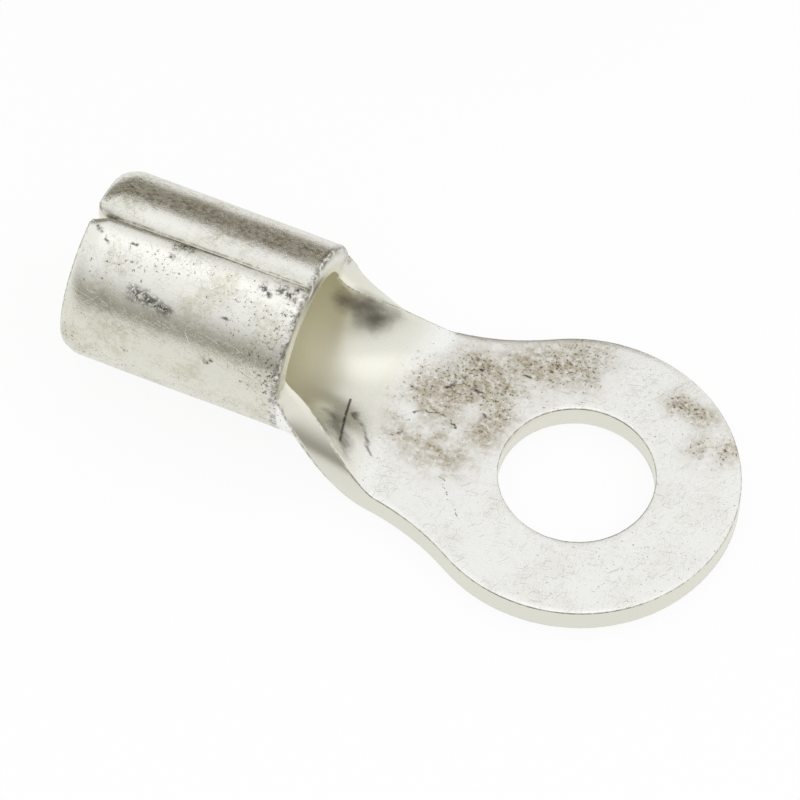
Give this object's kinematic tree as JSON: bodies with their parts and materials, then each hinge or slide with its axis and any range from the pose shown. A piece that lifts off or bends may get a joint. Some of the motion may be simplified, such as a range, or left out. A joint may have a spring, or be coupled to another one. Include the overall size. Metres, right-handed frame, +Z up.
{
  "type": "ring terminal",
  "caption": "Uninsulated crimp ring terminal of tin-plated copper: flat ring with a stud hole, a hollow-sided neck, a curled throat and a brazed tube barrel.",
  "frame": {"origin": "centre of the stud hole, on the flat underside that the palm and the barrel share", "axes": "+Z up along the stud hole; +X from the barrel towards the ring's tip; the wire enters along +X"},
  "size_m": [0.046, 0.022, 0.013],
  "materials": {
    "tinned_copper": "matte tin plating, scuffed and stained"
  },
  "bodies": {
    "root": {"ring_terminal": "tinned_copper"}
  },
  "joints": []
}
